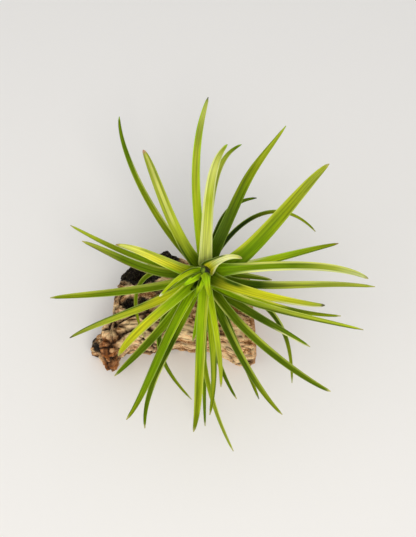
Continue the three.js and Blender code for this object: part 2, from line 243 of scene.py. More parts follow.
plant = {
    "crownHeight": 63, "crownLean": 25,  # the crown's middle, and how far the plant leans to the front
    # the stem, by depth below the crown's middle
    "footDepth": 40, "topDepth": 5, "footRadius": 3.6, "neckRadius": 2, "dome": 9, "domeRound": 0.6,
    # the leaves' room: their thickness and clearance as solids, and how far round the stem each clasps
    "thickness": 0.6, "clearance": 0.32, "lowestDepth": 35, "leafStep": 0.2,
    "claspFront": 31, "claspBack": 20, "sheathFill": 0.9,
    # the bowl that a leaf follows: its rise out of the sheath, its spread and its sag
    "risingOld": 48, "risingYoung": 58, "bendLength": 8,
    "spreadOld": -0.15, "spreadMid": 0.72, "spreadYoung": 0.6, "spreadYoungPower": 6,
    "levelling": 0.36, "levellingStart": 12, "sagDepth": 6, "sagReach": 70,
    # the blade's outline and section, and its path seen from above, for leaves with none of their own
    "taperStart": 2.6, "taperRound": 0.85, "flare": 0.6, "flareReach": 9,
    "channelAngle": 30, "lead": 0.36, "hook": 0.32,
}


def stemRadius(depth):
    girth = mix(plant["neckRadius"], plant["footRadius"], np.minimum(depth / plant["footDepth"], 1))
    return girth * np.minimum(depth / plant["dome"], 1) ** plant["domeRound"]


def sheathRadius(depth):
    return stemRadius(depth) + plant["clearance"]


def clasp(leaf):
    back = max(0, math.sin(math.radians(leaf["out"])))
    return leaf.get("hug", plant["claspFront"] + plant["claspBack"] * back)


def startSlope(depth):
    youth = 1 - depth / plant["lowestDepth"]
    return math.tan(math.radians(mix(plant["risingOld"], plant["risingYoung"], youth)))


def endSlope(depth):
    youth = 1 - depth / plant["lowestDepth"]
    young = plant["spreadYoung"] * youth ** plant["spreadYoungPower"]
    return plant["spreadOld"] + plant["spreadMid"] * youth + young


def bowlHeight(depth, x, y):
    distance = np.hypot(x, y)
    out = distance - sheathRadius(depth)
    turnUp = (startSlope(depth) - endSlope(depth)) * plant["bendLength"]
    rise = turnUp * (1 - np.exp(-out / plant["bendLength"]))
    start = plant["levellingStart"]
    level = plant["levelling"] * (np.hypot(y, start) - y - start) / 2
    sag = plant["sagDepth"] * (distance / plant["sagReach"]) ** 2
    return -depth + endSlope(depth) * out + rise + level - sag


# From the crown's own frame, which leans to the front, to the model's
def fromCrown(points):
    lean = math.radians(plant["crownLean"])
    c, s = math.cos(lean), math.sin(lean)
    turned = points @ np.array([[1, 0, 0], [0, c, s], [0, -s, c]])
    return turned + np.array([0, 0, plant["crownHeight"]])


# Leaves, oldest first, as seen from above: out is the bearing at which each leaves the stem, end its tip's
# bearing, aim its tip's heading and reach its tip's distance from the stem's axis. lead and hook are the
# shares of its span over which its first and last headings hold, and wide is its blade's width. hug, half
# the angle that it clasps, flare and taper, its outline, and start, its foot's distance from the axis, are
# given where they aren't the usual ones.
leaves = [
    {"out": 138, "end": 119, "aim": 90, "lead": 0.35, "hook": 0.2, "reach": 90, "wide": 2.9},
    {"out": -91, "end": -90, "aim": -88, "reach": 73.5, "wide": 2.2},
    {"out": 60, "end": 20, "aim": -48, "lead": 0.66, "hook": 0.38, "reach": 58, "wide": 1.7},
    {"out": 170, "end": 227, "aim": -67, "lead": 0.68, "hook": 0.7, "reach": 43, "wide": 2.0},
    {"out": -24, "end": -52, "aim": -90, "lead": 0.5, "hook": 0.45, "reach": 67.5, "wide": 2.4},
    {"out": -140, "end": -96, "aim": -45, "lead": 0.55, "hook": 0.55, "reach": 60.5, "wide": 2.3},
    {"out": 74, "end": 55, "aim": 5, "lead": 0.5, "hook": 0.4, "reach": 44, "wide": 2.7},
    {"out": -90, "end": -76, "aim": -58, "reach": 61.5, "wide": 2.3},
    {"out": 175, "end": 161, "aim": 152, "reach": 70, "wide": 2.6},
    {"out": -4, "end": -7, "reach": 32.5, "wide": 2.8},
    {"out": -99, "end": -81, "aim": -62, "reach": 84, "wide": 2.2},
    {"out": 87, "end": 74, "aim": 25, "lead": 0.68, "hook": 0.2, "reach": 64.5, "wide": 2.7},
    {"out": -34, "end": -18, "reach": 68.5, "wide": 2.6},
    {"out": -148, "end": -153, "reach": 37, "wide": 2.3},
    {"out": -66, "end": -67, "reach": 64, "wide": 2.6},
    {"out": 99, "end": 89, "aim": 74, "lead": 0.6, "hook": 0.2, "reach": 85, "wide": 3.6, "taper": 3.4},
    {"out": 188, "end": 166, "aim": 161, "lead": 0.42, "hook": 0.34, "reach": 61, "wide": 3.7, "taper": 3.4},
    {"out": 3, "end": 12, "aim": 11, "lead": 0.2, "hook": 0.28, "reach": 65.5, "wide": 3.9},
    {"out": -97, "end": -100, "reach": 33, "wide": 2.4},
    {"out": 135, "end": 117, "aim": 127, "lead": 0.3, "hook": 0.12, "reach": 65.5, "wide": 4.6, "taper": 4},
    {"out": -61, "end": -35.5, "aim": -31, "lead": 0.2, "hook": 0.4, "reach": 60, "wide": 4.2},
    {"out": -153, "end": -170.5, "aim": -176, "lead": 0.2, "hook": 0.35, "reach": 74, "wide": 3.5,
     "taper": 4.5},
    {"out": 66, "end": 61, "aim": 53, "lead": 0.7, "hook": 0.45, "reach": 79.5, "wide": 4.6},
    {"out": -73, "end": -61.5, "aim": -42, "lead": 0.3, "hook": 0.25, "reach": 73.5, "wide": 3.5},
    {"out": -138.5, "end": -154, "aim": -150, "lead": 0.3, "hook": 0.3, "reach": 69.5, "wide": 3.8},
    {"out": -24, "end": -5, "aim": -6, "lead": 0.3, "hook": 0.46, "reach": 80, "wide": 3.5, "taper": 3.6},
    {"out": -114, "end": -111, "aim": -86, "lead": 0.5, "hook": 0.25, "reach": 74.5, "wide": 3.0},
    {"out": -67, "end": -43.5, "aim": -20, "lead": 0.33, "hook": 0.15, "reach": 77.5, "wide": 3.6},
    {"out": -125, "end": -131, "aim": -138, "reach": 61.5, "wide": 3.7, "taper": 4},
    {"out": -2, "end": 41, "aim": 32, "lead": 0.2, "hook": 0.18, "reach": 76, "wide": 7.4},
    {"out": -84, "end": -88, "aim": -102, "reach": 62.5, "wide": 3.1},
    {"out": 188, "end": 163, "aim": 174, "lead": 0.2, "hook": 0.35, "reach": 43, "wide": 4.3, "taper": 3.4},
    {"out": -62, "end": -20, "aim": -12, "lead": 0.16, "hook": 0.45, "reach": 75, "wide": 3.1},
    {"out": 88, "end": 80, "aim": 44, "lead": 0.65, "hook": 0.18, "reach": 59, "wide": 4.6},
    {"out": -124, "end": -118, "aim": -130, "lead": 0.46, "hook": 0.2, "reach": 72, "wide": 3.7},
    {"out": 6.5, "end": -2.3, "aim": -28, "lead": 0.65, "hook": 0.14, "reach": 73, "wide": 3.8, "flare": 2.4,
     "flareReach": 6},
    {"out": -79, "end": -82, "aim": -92, "lead": 0.45, "hook": 0.25, "reach": 50.5, "wide": 2.4},
    {"out": -135, "end": -136, "aim": -122, "lead": 0.4, "hook": 0.3, "reach": 52.5, "wide": 3.9, "taper": 7},
    {"out": -48, "end": -15.4, "aim": 8, "lead": 0.13, "hook": 0.14, "reach": 55, "wide": 4.0, "hug": 52,
     "flare": 1.1},
    {"out": -94, "end": -94, "aim": -106, "lead": 0.6, "hook": 0.15, "reach": 66.5, "wide": 3.9},
    {"out": 50, "end": 20, "aim": -30, "lead": 0.3, "hook": 0.35, "reach": 18, "wide": 2.6, "hug": 95,
     "flare": 6.5, "flareReach": 3},
    {"out": 165, "end": 208, "aim": 224, "lead": 0.3, "hook": 0.3, "reach": 23, "wide": 1.9},
    {"out": -118, "end": -128, "reach": 10.5, "wide": 1.7},
    {"out": -148, "end": -148, "reach": 11.5, "wide": 2.1},
    {"out": -106, "end": -112, "reach": 12, "wide": 2.1},
    {"out": -75, "end": -78.7, "aim": -72, "reach": 11.7, "wide": 2.2, "hug": 60, "flare": 2.4,
     "flareReach": 3, "taper": 2, "start": 0.4},
]

# What each leaf looks like, oldest first: its tones at the sheath, in the lower blade, in the outer blade
# and near the tip; the tones at the sheath are partly painted light, lighter to make up for the shade deep
# in the rosette. left, right and keel are bands along its margins and its middle, seen from above with the
# tip away: a tone, the band's share of the half blade, and where it starts and ends, if not all along. The
# bands are partly the leaf's own pale margins and partly painted light and shade: pale where a margin or
# the middle catches the light, dark where a half lies in the shade of other leaves. margin is the strength
# of its pale margins, where it isn't 1.
leafTones = [
    {"tones": "moss olive fern fern", "right": ("sage", 0.4, 0, 0.7)},
    {"tones": "deep deep moss fern", "right": ("zest", 0.5, 0.45, 0.85)},
    {"tones": "night night olive olive", "left": ("fern", 0.3, 0, 0.7)},
    {"tones": "moss fern fern olive", "right": ("khaki", 0.4)},
    {"tones": "deep moss deep olive", "left": ("sage", 0.5, 0, 0.7)},
    {"tones": "fern moss deep olive", "left": ("night", 0.4, 0.5, 0.85), "right": ("grass", 0.4, 0.2, 0.85)},
    {"tones": "deep deep deep moss"},
    {"tones": "moss moss deep moss", "left": ("fern", 0.4)},
    {"tones": "moss grass olive citron", "left": ("khaki", 0.3)},
    {"tones": "moss fern fern fern", "left": ("sage", 0.6), "right": ("moss", 0.5)},
    {"tones": "moss fern olive khaki", "left": ("sage", 0.4, 0.58, 1.2)},
    {"tones": "moss olive khaki fern", "right": ("sage", 0.3, 0.4, 0.9)},
    {"tones": "apple zest moss olive", "left": ("lemon", 0.5, 0, 0.62), "right": ("grass", 0.4, 0.5, 0.85)},
    {"tones": "grass apple moss deep"},
    {"tones": "deep deep fern olive"},
    {"tones": "zest citron khaki sage", "left": ("lime", 0.35), "right": ("lime", 0.35, 0, 0.75)},
    {"tones": "moss fern moss khaki", "left": ("brown", 0.2, 0.3, 1), "right": ("olive", 0.4, 0.05, 0.4)},
    {"tones": "zest zest lime olive", "left": ("pale", 0.4, 0.1, 0.5), "right": ("fern", 0.4)},
    {"tones": "lime spring spring lime"},
    # leaf 20: its straw keel is a painted sheen along the middle of the blade
    {"tones": "fern citron khaki khaki", "left": ("deep", 0.4, -0.2, 0.3), "keel": ("straw", 0.3, 0.3, 1)},
    {"tones": "deep moss deep fern", "left": ("pale", 0.3, 0, 0.25), "right": ("cream", 0.5, 0.7, 1.2)},
    {"tones": "spring fern fern olive", "left": ("lime", 0.6, -0.2, 0.3), "right": ("khaki", 0.6)},
    {"tones": "deep fern olive citron", "left": ("olive", 0.4, 0.25, 1.2), "margin": 0.3},
    {"tones": "grass deep moss olive", "left": ("khaki", 0.6, 0.25, 1), "right": ("deep", 0.4, 0, 0.8)},
    {"tones": "spring gold citron khaki", "right": ("moss", 0.4, 0.36, 1)},
    {"tones": "moss deep khaki khaki", "left": ("sage", 0.45, 0.35, 1), "right": ("khaki", 0.45, 0.35, 1)},
    {"tones": "lime deep moss fern", "left": ("sage", 0.4, 0.4, 0.72)},
    {"tones": "moss moss moss moss", "left": ("khaki", 0.5, 0.25, 1.2), "right": ("sage", 0.3, -0.3, 0.3)},
    {"tones": "lime apple moss fern", "right": ("khaki", 0.3, 0.4, 1.2)},
    {"tones": "moss grass olive khaki", "left": ("citron", 0.4, 0.2, 1), "right": ("khaki", 0.3, 0.55, 1.2)},
    {"tones": "zest zest citron olive", "left": ("moss", 0.5, 0.5, 1), "right": ("grass", 0.4)},
    {"tones": "apple gold lemon straw", "left": ("lime", 0.4, 0, 0.5), "right": ("khaki", 0.6, 0.2, 0.8)},
    {"tones": "spring grass khaki citron", "left": ("straw", 0.4, 0, 0.5), "right": ("moss", 0.5, 0.1, 1.2)},
    {"tones": "sage citron straw khaki", "left": ("pale", 0.35), "right": ("pale", 0.25)},
    {"tones": "apple grass grass olive", "left": ("lime", 0.5, 0, 0.45), "right": ("fern", 0.4)},
    {"tones": "grass fern khaki pale", "left": ("straw", 0.4, 0.05, 1.2), "right": ("pale", 0.4, 0.06, 1.2)},
    {"tones": "lime zest citron citron"},
    {"tones": "grass lime gold gold", "left": ("straw", 0.2, 0.3, 1), "right": ("citron", 0.3)},
    {"tones": "deep gold gold khaki", "keel": ("moss", 1.5, -0.2, 0.2), "left": ("deep", 0.7, 0.12, 0.42),
     "right": ("cream", 0.5, 0.55, 1.2)},
    {"tones": "lime apple olive olive", "left": ("citron", 0.5, 0, 0.85),
     "right": ("citron", 0.45, 0.3, 0.9)},
    {"tones": "gold pale cream straw", "left": ("deep", 0.45, -0.2, 0.6), "right": ("cream", 0.3)},
    {"tones": "apple zest zest zest", "left": ("moss", 0.5, 0.5, 0.9), "right": ("moss", 0.5, 0, 0.5)},
    # leaf 43: painted near-black all along, painted shade where it lies in a dark gap of the crown
    {"tones": "night night night fern", "margin": 0},
    # leaves 44 to 46: their moss and deep bands are painted shade from the crevice at the crown's heart
    {"tones": "lime spring spring spring", "right": ("moss", 0.5, -0.2, 0.55), "margin": 0.3},
    {"tones": "spring spring lime grass", "right": ("deep", 0.7, 0.05, 0.6), "margin": 0.3},
    {"tones": "lime spring zest zest", "left": ("moss", 0.5, -0.2, 0.25), "margin": 0.2},
]

# What the leaves' tips wither to, where it isn't straw. Leaf 42's pale tip is no withering but a painted
# glint.
leafTips = {
    1: "apple", 7: "night", 12: "apple", 15: "grey", 16: "grey", 18: "brown", 20: "pink", 23: "lime",
    25: "dark", 32: "brown", 34: "lime", 39: "dark", 42: "pale", 43: "night", 44: "lime", 45: "apple",
    46: "lime",
}

leafLook = {
    "stations": 72,
    "acrossPoints": 19,
    "bunching": 1.35,  # stations stand closer near the sheath, where a blade bends most
    "tipWidth": 0.25,
    "foldWidth": 0.55,  # what the fold at the tip adds to its width
    "tipRound": 0.965,
    "middleThickness": 0.5,
    "marginThickness": 0.1,
    "leastThickness": 0.1,  # a narrow blade is this thick, and a share of its width more
    "thickening": 0.3,
    "thicknessRound": 2.4,
    "channelStart": 0.05, "channelEnd": 0.4,
    "rolledAngle": 62,  # half the angle that the blade's section turns through near its tip
    "rollStart": 0.62, "rollEnd": 0.97,
    "twist": 7, "twistStart": 0.25,
    "seed": 5,
    "seedStride": 50,  # how far apart in the noise the leaves lie
    # across the blade, along it and from leaf to leaf
    "veinSize": (0.5, 30, 1),  # drawn a little coarser than the real 0.3 mm, to show in the picture
    "mottleSize": (3, 16, 1),
    "veinDepth": 0.03, "veinRelief": 0.5,
    # light, hue and roughness by the noise: its low and high values, and what each of them gives
    "stripeLight": (0.32, 0.68, 0.7, 1.3),
    "mottleLight": (0.3, 0.7, 0.9, 1.12),
    "mottleHue": (0.3, 0.7, 0.506, 0.494),
    "mottleRoughness": (0.3, 0.7, 0.39, 0.53),
    "ior": 1.45, "specular": 0.06,
    "glow": 0.22, "glowReach": 0.9, "glowTint": (0.8, 1.0, 0.2),
    "toneStations": (0.08, 0.35, 0.62, 0.9),
    "bandEnds": (0, 1.2),  # a band that is given no ends runs all along
    "bandEdge": (0.75, 1.3),
    "bandFade": 0.12,
    "marginWidth": 0.45, "marginShare": 0.3, "marginEdge": 0.4, "marginFade": (0.7, 0.95),
    "marginStrength": 0.28,
    "marginColour": "#d2de7c",
    "scales": 0.4,  # how thickly the pale scales lie on the underside
    "scaleColour": "#a9b07c",
    "withering": 0.95, "witherStart": 0.5, "witherEnd": 2.6,
    "tones": {
        "night": "#1f3003", "deep": "#3d5304", "moss": "#536905", "fern": "#637b06", "grass": "#729205",
        "apple": "#88aa08", "lime": "#9fbd12", "spring": "#b8e014", "zest": "#b6c914", "olive": "#82900f",
        "khaki": "#98a232", "sage": "#b2b958", "citron": "#adb82c", "gold": "#c4c420", "lemon": "#dedd40",
        "straw": "#cbce66", "pale": "#d6da8c", "cream": "#eae9a0", "brown": "#5c4a24",
    },
    "tips": {
        "straw": "#b4ac6c", "grey": "#6e705c", "brown": "#8a6f34", "pink": "#c9977c",
        # pale is a painted glint, on leaf 42's tip
        "dark": "#4a4238", "pale": "#eef2cc", "night": "#1f3003", "lime": "#9fbd12", "apple": "#88aa08",
    },
}


def insertionDepths():
    depths = []
    for i, leaf in enumerate(leaves):
        depth = depths[-1] - plant["leafStep"] if i else plant["lowestDepth"]
        for older, itsDepth in zip(leaves, depths):
            apart = abs((leaf["out"] - older["out"] + 180) % 360 - 180)
            steep = math.hypot(1, startSlope(itsDepth))
            room = (plant["thickness"] + plant["clearance"]) * steep
            if apart < clasp(leaf) + clasp(older):
                depth = min(depth, itsDepth - room)
        depths.append(depth)
    return depths


def midrib(leaf, depth, t):
    start = leaf.get("start", sheathRadius(depth))
    span = leaf["reach"] - start
    aim = leaf.get("aim", 2 * leaf["end"] - leaf["out"])

    def at(bearing, distance):
        turn = math.radians(bearing)
        return np.array([math.cos(turn), math.sin(turn)]) * distance

    near, far = at(leaf["out"], start), at(leaf["end"], leaf["reach"])
    controls = [
        near, near + at(leaf["out"], span * leaf.get("lead", plant["lead"])),
        far - at(aim, span * leaf.get("hook", plant["hook"])), far,
    ]
    t = np.asarray(t)[:, None]
    weights = [(1 - t) ** 3, 3 * t * (1 - t) ** 2, 3 * t * t * (1 - t), t ** 3]
    plan = sum(w * c for w, c in zip(weights, controls))
    return np.column_stack([plan, bowlHeight(depth, plan[:, 0], plan[:, 1])])


def bladeWidth(leaf, t, distance):
    sheath = 2 * math.radians(clasp(leaf)) * distance * plant["sheathFill"]
    reach = leaf.get("flareReach", plant["flareReach"])
    flare = 1 + leaf.get("flare", plant["flare"]) * np.exp(-distance / reach)
    taper = np.maximum(1 - t ** leaf.get("taper", plant["taperStart"]), 0) ** plant["taperRound"]
    blade = leaf["wide"] * flare * taper
    fold = leafLook["foldWidth"] * smooth(1, leafLook["tipRound"], t)
    return np.maximum(leafLook["tipWidth"], np.minimum(sheath, blade) + fold)


# The colour at each ring of a blade and each point round it
def bladeTones(leaf, t, share, under, fromTip, half):
    look = leafLook
    tones = np.array([linear(look["tones"][name])[:3] for name in leaf["tones"].split()])
    colour = np.stack([np.interp(t, look["toneStations"], tones[:, k]) for k in range(3)], axis=-1)
    colour = np.repeat(colour[:, None], len(share), axis=1)
    inner, outer = look["bandEdge"]
    fade = look["bandFade"]
    # bands, partly the leaf's own pale margins and partly painted light and shade: pale where a margin or the
    # middle catches the light, dark where a half lies in shade
    for band, side in (("left", -1), ("keel", 0), ("right", 1)):
        if band not in leaf:
            continue
        name, width, *ends = leaf[band]
        start, end = ends or look["bandEnds"]
        inward = 1 - share * side if side else np.abs(share)
        strength = (1 - smooth(inner * width, outer * width, inward))[None]
        strength = strength * (smooth(start, start + fade, t) * (1 - smooth(end - fade, end, t)))[:, None]
        colour = tint(colour, look["tones"][name], strength[:, :, None])
    marginWidth = np.minimum(look["marginWidth"], look["marginShare"] * half)[:, None]
    fromMargin = (1 - np.abs(share))[None] * half[:, None] / marginWidth
    strength = look["marginStrength"] * leaf.get("margin", 1) * (1 - smooth(*look["marginFade"], t))
    margin = (1 - smooth(look["marginEdge"], 1, fromMargin)) * strength[:, None]
    colour = tint(colour, look["marginColour"], margin[:, :, None])
    colour = tint(colour, look["scaleColour"], look["scales"] * under[None, :, None])
    # the tips' withered tint, which on leaf 42 is a painted glint
    tipTint = look["withering"] * (1 - smooth(look["witherStart"], look["witherEnd"], fromTip))
    return tint(colour, look["tips"][leaf["tip"]], tipTint[:, None, None])


# A blade with a thick middle and thin margins, whose outer end rolls inward round its tip
def bladeMesh(leaf, depth, twist):
    look = leafLook
    t = np.linspace(0, 1, look["stations"] + 1) ** look["bunching"]
    centre = midrib(leaf, depth, t)
    step = 0.01
    along = unit(midrib(leaf, depth, np.minimum(t + step, 1)) - midrib(leaf, depth, np.maximum(t - step, 0)))
    x, y = centre[:, 0], centre[:, 1]
    gap = 0.05
    slopeX = (bowlHeight(depth, x + gap, y) - bowlHeight(depth, x - gap, y)) / (2 * gap)
    slopeY = (bowlHeight(depth, x, y + gap) - bowlHeight(depth, x, y - gap)) / (2 * gap)
    side = unit(np.cross(along, unit(np.column_stack([-slopeX, -slopeY, np.ones(len(t))]))))
    face = np.cross(side, along)
    turn = (np.radians(twist) * smooth(look["twistStart"], 1, t))[:, None]
    side, face = side * np.cos(turn) + face * np.sin(turn), face * np.cos(turn) - side * np.sin(turn)

    distance = np.hypot(x, y)
    slope = np.hypot(slopeX, slopeY)
    width = bladeWidth(leaf, t, distance)
    wrap = slope / np.hypot(1, slope) / distance * width / 2
    channel = math.radians(plant["channelAngle"]) * smooth(look["channelStart"], look["channelEnd"], t)
    rolled = math.radians(look["rolledAngle"])
    halfTurn = wrap + mix(channel, rolled, smooth(look["rollStart"], look["rollEnd"], t))
    flatTurn = wrap + channel
    # a blade that rolls further keeps the width that shows from above
    half = width / 2 * (np.sin(flatTurn) / flatTurn) / (np.sin(halfTurn) / halfTurn)
    curve = (halfTurn / half)[:, None, None]

    share = np.linspace(-1, 1, look["acrossPoints"])
    bend = (halfTurn[:, None] * share)[:, :, None]
    upper = centre[:, None] + (side[:, None] * np.sin(bend) + face[:, None] * (1 - np.cos(bend))) / curve
    outward = side[:, None] * np.sin(bend) - face[:, None] * np.cos(bend)
    narrow = look["leastThickness"] + look["thickening"] * width
    thick = np.minimum(look["middleThickness"], narrow)[:, None]
    thin = np.minimum(look["marginThickness"], thick / 2)
    fullness = 1 - np.abs(share) ** look["thicknessRound"]
    lower = upper + outward * mix(thin, thick, fullness)[:, :, None]
    tangent = side[:, None] * np.cos(bend) + face[:, None] * np.sin(bend)
    roundOut = thin[:, :, None] / 2
    right = (upper[:, -1:] + lower[:, -1:]) / 2 + tangent[:, -1:] * roundOut
    left = (upper[:, :1] + lower[:, :1]) / 2 - tangent[:, :1] * roundOut
    rings = np.concatenate([upper, right, lower[:, ::-1], left], axis=1)
    points, faces = closeRings(rings)

    def spread(values):  # to every point of the rings and to the two added at the ends
        values = values.reshape(len(t), -1)
        return np.concatenate([values.ravel(), [values[0].mean(), values[-1].mean()]])

    length = np.concatenate([[0], np.cumsum(np.linalg.norm(np.diff(centre, axis=0), axis=1))])
    ringShare = np.concatenate([share, [1], share[::-1], [-1]])
    under = np.concatenate([np.zeros(len(share)), [0.5], np.ones(len(share)), [0.5]])
    tones = bladeTones(leaf, t, ringShare, under, length[-1] - length, half)
    attributes = {
        "bladePlace": np.column_stack([
            spread(half[:, None] * ringShare),
            spread(np.repeat(length[:, None], len(ringShare), axis=1)),
            np.full(len(points), leaf["seed"] * look["seedStride"]),
        ]),
        "bladeTone": np.column_stack([spread(tone) for tone in np.moveaxis(tones, -1, 0)]),
    }
    return fromCrown(points), faces, attributes


# Bromeliad leaf, a waxy cuticle over parallel veins: satin gloss, fine stripes along the blade, and light
# that glows through the flesh. Each leaf's tones, partly painted light and shade, and its pale margins come
# with its mesh.
def waxyLeafCuticle():
    look = leafLook
    material, tree, shader = newMaterial("waxyLeafCuticle", {
        "IOR": look["ior"],
        "Specular IOR Level": look["specular"],
        "Subsurface Weight": look["glow"],
        "Subsurface Radius": look["glowTint"],
        "Subsurface Scale": look["glowReach"] * mm,
    })
    place = addNode(tree, "ShaderNodeAttribute", {"attribute_name": "bladePlace"}).outputs["Vector"]
    tone = addNode(tree, "ShaderNodeAttribute", {"attribute_name": "bladeTone"}).outputs["Color"]
    veinPlace = addNode(tree, "ShaderNodeVectorMath", {"operation": "DIVIDE", 1: look["veinSize"]}, {
        0: place})
    veins = addNode(tree, "ShaderNodeTexNoise", {"Scale": 1, "Detail": 2, "Roughness": 0.6}, {
        "Vector": veinPlace})
    mottlePlace = addNode(tree, "ShaderNodeVectorMath", {"operation": "DIVIDE", 1: look["mottleSize"]}, {
        0: place})
    mottle = addNode(tree, "ShaderNodeTexNoise", {"Scale": 1, "Detail": 1}, {"Vector": mottlePlace})

    stripe, patch, hue, gloss = (
        addNode(tree, "ShaderNodeMapRange", dict(enumerate(look[name], 1)), {0: pattern})
        for name, pattern in (("stripeLight", veins), ("mottleLight", mottle), ("mottleHue", mottle),
                              ("mottleRoughness", mottle))
    )
    light = addNode(tree, "ShaderNodeMath", {"operation": "MULTIPLY"}, {0: stripe, 1: patch})
    striped = addNode(tree, "ShaderNodeHueSaturation", links={"Hue": hue, "Value": light, "Color": tone})
    relief = addNode(tree, "ShaderNodeBump", {
        "Strength": look["veinRelief"], "Distance": look["veinDepth"] * mm}, {"Height": veins})
    linkNode(tree, shader, {"Base Color": striped, "Normal": relief, "Roughness": gloss})
    return material


def addLeaves():
    draw = random.Random(leafLook["seed"])
    cuticle = waxyLeafCuticle()
    for i, (shape, depth) in enumerate(zip(leaves, insertionDepths())):
        number = i + 1
        leaf = {**shape, **leafTones[i], "tip": leafTips.get(number, "straw"), "seed": draw.random()}
        twist = draw.uniform(-1, 1) * leafLook["twist"]
        points, faces, attributes = bladeMesh(leaf, depth, twist)
        blade = addMesh(f"blade_{number:02d}", points, faces, cuticle, attributes)
        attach(blade, "root")
        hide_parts(f"leaf_{number:02d}")


addLeaves()
print("leaves made,", len(leaves))

# The bark: a split piece of cork bark, cut square at its right end

